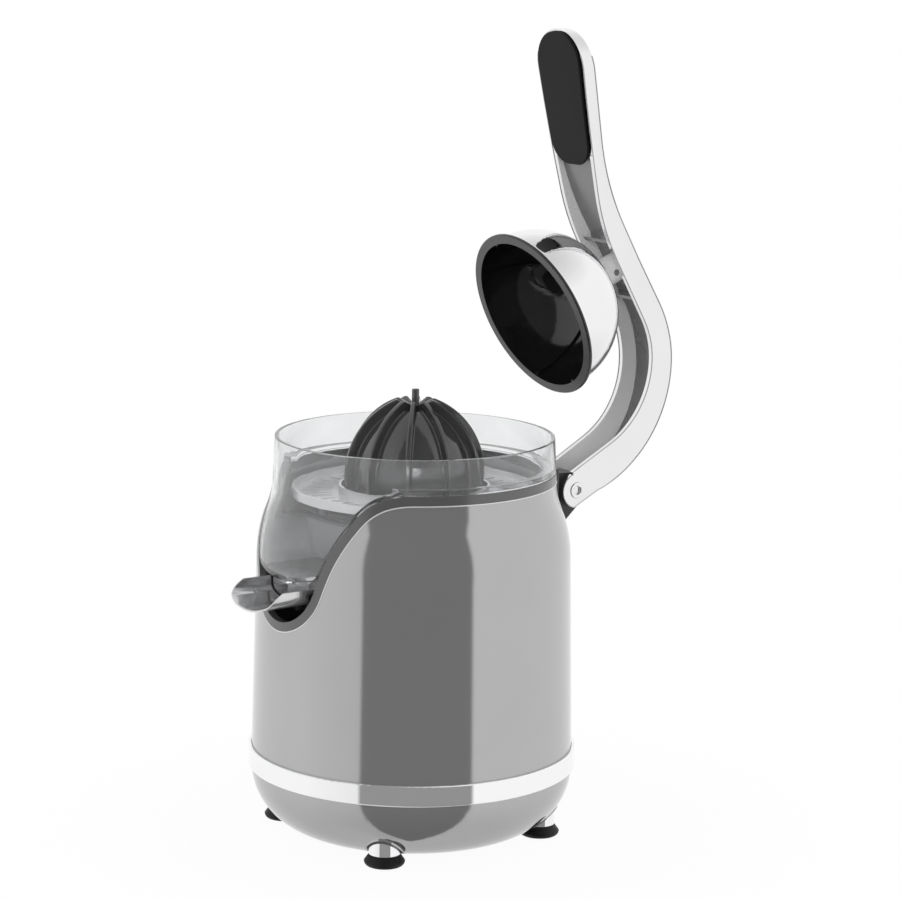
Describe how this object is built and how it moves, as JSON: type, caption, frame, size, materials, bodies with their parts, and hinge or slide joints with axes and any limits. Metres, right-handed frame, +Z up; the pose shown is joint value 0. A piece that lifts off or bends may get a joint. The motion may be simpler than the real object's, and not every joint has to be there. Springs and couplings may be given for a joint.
{
  "type": "citrus juicer",
  "caption": "Electric citrus juicer with a hinged lever and press cup over a fluted reamer, a clear juice bowl and a tilting spout.",
  "frame": {"origin": "on the body's axis, in the plane that the rubber feet stand on", "axes": "+Z up along the body's axis, -Y towards the spout, +X to the right seen from the spout"},
  "size_m": [0.1976, 0.2969, 0.48],
  "materials": {
    "body_paint": "gloss grey paint",
    "chrome": "polished",
    "lever_metal": "polished",
    "edge_strip": "satin",
    "black_plastic": "gloss",
    "bracket_black": "satin black",
    "grip_rubber": "soft satin",
    "clear_plastic": "clear, slightly smoky",
    "strainer_steel": "fine brushed",
    "spout_steel": "polished",
    "foot_rubber": "soft satin",
    "black_rubber": "soft",
    "cover_plastic": "fine texture",
    "gear_nylon": "moulded",
    "gearbox_plastic": "moulded",
    "steel": "plain",
    "screws": "zinc",
    "motor_steel": "plain",
    "bronze": "sintered",
    "copper": "enamelled wire",
    "washer_plastic": "acetal"
  },
  "bodies": {
    "housing": {"base_pan": "body_paint", "bottom_cover": "cover_plastic", "cover_screws": "screws", "suction_feet": "foot_rubber", "foot_collars": "chrome", "foot_screws": "screws", "cord_gland": "black_rubber", "trim_band": "chrome", "body_shell": "body_paint", "edge_trim": "edge_strip", "inner_deck": "black_plastic", "spindle_seal": "black_rubber", "hinge_bracket": "bracket_black", "bracket_screws": "screws", "hinge_backplate": "steel", "hinge_bushes": "bronze", "motor_can": "motor_steel", "motor_cap": "motor_steel", "motor_screws": "screws", "motor_bearings": "steel", "stator_core": "motor_steel", "stator_windings": "copper", "gearbox_case": "gearbox_plastic", "gearbox_cover": "gearbox_plastic", "gearbox_screws": "screws", "hub_bush": "bronze", "spindle_bush": "bronze", "idler_axle": "steel", "microswitch": "cover_plastic", "return_spring": "steel", "spout_yoke": "black_plastic", "spout_pins": "steel"},
    "lever": {"lever_arm": "lever_metal", "grip_pad": "grip_rubber", "hinge_bolt": "steel", "hinge_nut": "steel", "hinge_washers": "washer_plastic", "cup_post": "chrome", "cup_pivot_pin": "steel"},
    "press_cup": {"cup_shell": "chrome", "cup_liner": "black_plastic", "cup_stem": "steel", "cup_screw": "screws"},
    "output": {"output_gear": "gear_nylon"},
    "spindle": {"drive_spindle": "steel"},
    "cone": {"reamer": "black_plastic"},
    "idler": {"idler_gear": "gear_nylon"},
    "rotor": {"motor_rotor": "motor_steel", "motor_shaft": "steel", "motor_pinion": "steel", "cooling_fan": "gear_nylon"},
    "plunger": {"switch_plunger": "cover_plastic"},
    "spout": {"spout_trough": "spout_steel", "spout_seal": "black_rubber"},
    "bowl": {"juice_bowl": "clear_plastic"},
    "sieve": {"strainer": "strainer_steel"}
  },
  "joints": [
    {"name": "lever_hinge", "type": "hinge", "parent": "housing", "child": "lever", "pos_m": [0, 0.111, 0.199], "axis": [-1, 0, 0], "range_deg": [-62, 0]},
    {"name": "cup_tilt", "type": "hinge", "parent": "lever", "child": "press_cup", "pos_m": [0, 0.14174, 0.33114], "axis": [1, 0, 0], "range_deg": [-3, 3]},
    {"name": "reamer_spin", "type": "hinge", "parent": "housing", "child": "output", "pos_m": [0, 0, 0.14], "axis": [0, 0, 1], "continuous": true},
    {"name": "idler_spin", "type": "hinge", "parent": "housing", "child": "idler", "pos_m": [0, 0.042, 0.13], "axis": [0, 0, 1], "continuous": true},
    {"name": "rotor_spin", "type": "hinge", "parent": "housing", "child": "rotor", "pos_m": [0.01215, 0.01589, 0.08], "axis": [0, 0, 1], "continuous": true},
    {"name": "spindle_push", "type": "slide", "parent": "output", "child": "spindle", "axis": [0, 0, 1], "range_m": [-0.003, 0], "stiffness_N_per_m": 2000, "springref_m": 0.004, "deforming": ["return_spring"]},
    {"name": "switch_press", "type": "slide", "parent": "housing", "child": "plunger", "axis": [0, 0, 1], "range_m": [-0.003, 0]},
    {"name": "bowl_lift", "type": "slide", "parent": "housing", "child": "bowl", "axis": [0, 0, 1], "range_m": [0, 0.05]},
    {"name": "reamer_lift", "type": "slide", "parent": "spindle", "child": "cone", "axis": [0, 0, 1], "range_m": [0, 0.05]},
    {"name": "strainer_lift", "type": "slide", "parent": "bowl", "child": "sieve", "axis": [0, 0, 1], "range_m": [0, 0.04]},
    {"name": "spout_flip", "type": "hinge", "parent": "housing", "child": "spout", "pos_m": [0, -0.088, 0.158], "axis": [-1, 0, 0], "range_deg": [0, 14]}
  ],
  "couplings": [
    {"joint": "idler_spin", "follows": "reamer_spin", "ratio": -5},
    {"joint": "rotor_spin", "follows": "reamer_spin", "ratio": 25},
    {"joint": "switch_press", "follows": "spindle_push", "ratio": 1},
    {"joint": "reamer_lift", "follows": "bowl_lift", "ratio": 1}
  ]
}
